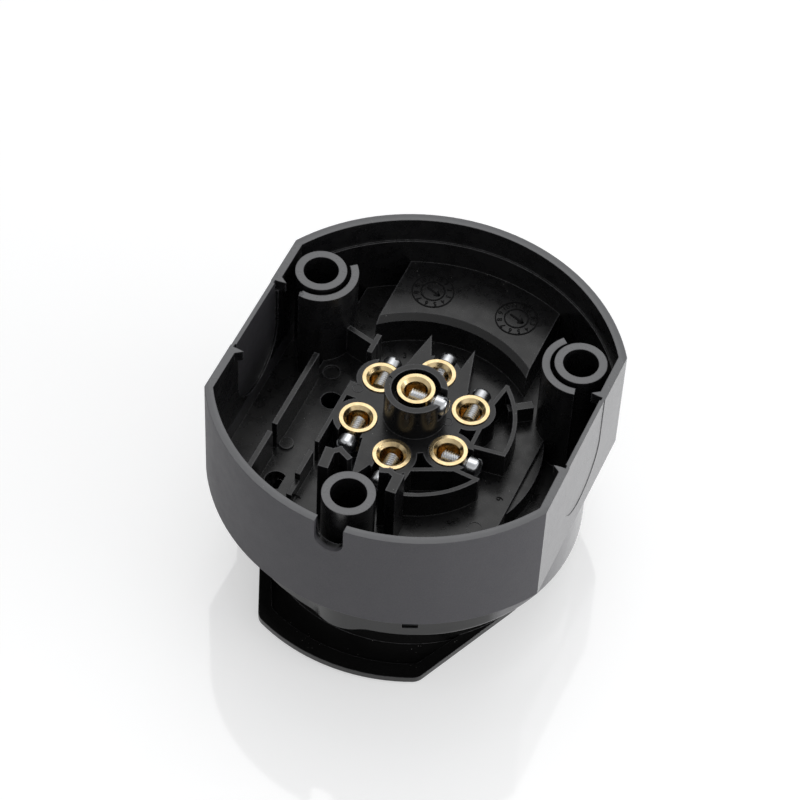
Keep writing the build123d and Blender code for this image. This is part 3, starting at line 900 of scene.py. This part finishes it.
class SOCKET_OT_lid(bpy.types.Operator):
    """Give the lid, its seal, its pin and its spring their finishes"""
    bl_idname = "socket.lid"
    bl_label = "Lid and hinge"

    def execute(self, context):
        finish_node("lid", "lid_black")
        finish_node("lid_seal", "seal_rubber")
        finish_node("hinge_pin", "drawn_steel")
        finish_node("lid_spring", "drawn_steel")
        return {"FINISHED"}


class SOCKET_OT_contacts(bpy.types.Operator):
    """Give the contacts their turned brass"""
    bl_idname = "socket.contacts"
    bl_label = "Contacts"

    def execute(self, context):
        for number in PINS:
            finish_node(f"contact_{number}", "turned_brass")
        return {"FINISHED"}


class SOCKET_OT_screws(bpy.types.Operator):
    """Make the clamp screws, with real threads, domed heads and slots"""
    bl_idname = "socket.screws"
    bl_label = "Clamp screws"

    def execute(self, context):
        detail = context.scene.socket_detail
        master = None
        for number in PINS:
            low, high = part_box(f"clamp_screw_{number}")
            size = (high - low) / MM
            length = max(size.x, size.y)
            if master is None:
                master = screw_mesh(detail, length, size.z / 2)
            mesh = master.copy()
            heading = screw_direction(number)
            turn = heading.to_track_quat("X", "Z").to_matrix().to_4x4()
            tip = (low + high) / 2 - heading * length * MM / 2
            roll = Matrix.Rotation(radians(SCREW_ROLL * number), 4, "X")
            mesh.transform(Matrix.Translation(tip) @ turn @ roll)
            piece = new_piece(f"clamp_screw_{number}_turned", mesh, "bright_zinc",
                              f"clamp_screw_{number}")
            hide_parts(f"clamp_screw_{number}")
        bpy.data.meshes.remove(master)
        return {"FINISHED"}


class SOCKET_OT_dials(bpy.types.Operator):
    """Make the two moulding dials on the ledge"""
    bl_idname = "socket.dials"
    bl_label = "Moulding dials"

    def execute(self, context):
        for side, place in DIAL_PLACES.items():
            add_dial(context.scene.socket_detail, side, place)
        return {"FINISHED"}


class SOCKET_OT_numbers(bpy.types.Operator):
    """Make the raised numbers beside the terminals"""
    bl_idname = "socket.numbers"
    bl_label = "Terminal numbers"

    def execute(self, context):
        detail = context.scene.socket_detail
        height = detail.mark_height * MM
        for number, (x, y, turn) in NUMBER_PLACES.items():
            size = MIDDLE_NUMBER_SIZE if number == MIDDLE_NUMBER else detail.number_size
            builder = bmesh.new()
            add_number(builder, str(number), size * MM, height, place_on(x, y), radians(turn))
            mesh = mesh_from(builder, f"terminal_number_{number}")
            new_piece(f"terminal_number_{number}", mesh, "marked_black", "housing")
        return {"FINISHED"}


class SOCKET_OT_marks(bpy.types.Operator):
    """Make the round marks that ejector pins leave in the cup"""
    bl_idname = "socket.marks"
    bl_label = "Ejector marks"

    def execute(self, context):
        height = context.scene.socket_detail.mark_height * MM
        for name, (x, y, radius) in EJECTOR_SPOTS.items():
            builder = bmesh.new()
            ring_band(builder, place_on(x, y), (radius - EJECTOR_WIDTH) * MM, radius * MM,
                      -height / 2, height * EJECTOR_SHARE, EJECTOR_STEPS)
            mesh = mesh_from(builder, f"ejector_mark_{name}")
            new_piece(f"ejector_mark_{name}", mesh, "moulded_black", "housing")
        return {"FINISHED"}


def add_camera(stage):
    camera = new_object("camera", bpy.data.cameras.new("camera"))
    camera.location = stage.camera_place
    camera.rotation_euler = Euler(stage.camera_turn)
    camera.data.lens = stage.camera_lens
    camera.data.sensor_width = SENSOR_WIDTH
    bpy.context.scene.camera = camera
    bpy.context.scene.view_settings.view_transform = "Standard"


def add_table(stage):
    # A white glossy table that looks white to the camera and in mirrors without lighting the object
    builder = bmesh.new()
    bmesh.ops.create_grid(builder, x_segments=1, y_segments=1, size=TABLE_HALF)
    bmesh.ops.translate(builder, vec=(0, 0, cad_low.z), verts=builder.verts)
    floor = new_object("table", mesh_from(builder, "table"))
    tree, shader = new_material("white_table", stage.floor_colour, TABLE_ROUGHNESS)
    shader.inputs["IOR"].default_value = TABLE_IOR
    rays = tree.nodes.new("ShaderNodeLightPath").outputs
    seen = math_node(tree, "MAXIMUM", rays["Is Camera Ray"], rays["Is Glossy Ray"])
    seen = math_node(tree, "MAXIMUM", seen, rays["Is Transmission Ray"])
    shader.inputs["Emission Color"].default_value = (1.0, 1.0, 1.0, 1.0)
    tree.links.new(product(tree, seen, stage.floor_glow), shader.inputs["Emission Strength"])
    floor.data.materials.append(bpy.data.materials["white_table"])


def add_studio(stage):
    # A white world that dims upwards and to the left, with one soft sheen in its roof
    world = bpy.data.worlds.new("studio")
    bpy.context.scene.world = world
    world.use_nodes = True
    sky = world.node_tree
    background = sky.nodes["Background"]
    background.inputs["Color"].default_value = (1.0, 1.0, 1.0, 1.0)
    way = sky.nodes.new("ShaderNodeTexCoord").outputs["Generated"]
    direction = vector_parts(sky, way)
    up = value_range(sky, direction["Z"], (0.0, HIGH_FROM), (LEVEL_WHITE, HIGH_WHITE))
    nearness = dot_product(sky, way, Vector(stage.sheen_way).normalized())
    glow = value_range(sky, nearness, SHEEN_COSINES, (0.0, stage.sheen_level))
    right = value_range(sky, direction["X"], (-1.0, 1.0), (-RIGHT_WHITE, RIGHT_WHITE))
    level = math_node(sky, "ADD", math_node(sky, "ADD", up, glow), right)
    sky.links.new(level, background.inputs["Strength"])


def add_panel(stage):
    data = bpy.data.lights.new("right_panel", "AREA")
    data.shape = "RECTANGLE"
    data.size, data.size_y = stage.panel_size
    data.energy = stage.panel_power
    light = new_object("right_panel", data)
    light.location = stage.panel_place
    facing = Vector(stage.panel_target) - Vector(stage.panel_place)
    light.rotation_euler = facing.to_track_quat("-Z", "Y").to_euler()


class SOCKET_OT_stage(bpy.types.Operator):
    """Make the white table, the soft light and the camera"""
    bl_idname = "socket.stage"
    bl_label = "Stage"

    def execute(self, context):
        for add in (add_camera, add_table, add_studio, add_panel):
            add(context.scene.socket_stage)
        return {"FINISHED"}


class SOCKET_PT_panel(bpy.types.Panel):
    """Lists the sizes, the colours and the steps"""
    bl_idname = "SOCKET_PT_panel"
    bl_label = "Trailer socket"
    bl_space_type = "VIEW_3D"
    bl_region_type = "UI"
    bl_category = "Socket"

    def draw(self, context):
        layout = self.layout
        scene = context.scene
        for settings in (scene.socket_finish, scene.socket_detail, scene.socket_stage):
            box = layout.box()
            for name in settings.__annotations__:
                box.prop(settings, name)
        for operator in STEPS:
            layout.operator(operator.bl_idname)


STEPS = (SOCKET_OT_finishes, SOCKET_OT_housing, SOCKET_OT_lid, SOCKET_OT_contacts, SOCKET_OT_screws,
         SOCKET_OT_dials, SOCKET_OT_numbers, SOCKET_OT_marks, SOCKET_OT_stage)
CLASSES = (SocketFinish, SocketDetail, SocketStage, *STEPS, SOCKET_PT_panel)


def register():
    for cls in CLASSES:
        bpy.utils.register_class(cls)
    bpy.types.Scene.socket_finish = PointerProperty(type=SocketFinish)
    bpy.types.Scene.socket_detail = PointerProperty(type=SocketDetail)
    bpy.types.Scene.socket_stage = PointerProperty(type=SocketStage)


def unregister():
    del bpy.types.Scene.socket_stage
    del bpy.types.Scene.socket_detail
    del bpy.types.Scene.socket_finish
    for cls in reversed(CLASSES):
        bpy.utils.unregister_class(cls)


def main():
    register()
    for step in STEPS:
        group, name = step.bl_idname.split(".")
        getattr(getattr(bpy.ops, group), name)()


if __name__ == "__main__":
    main()
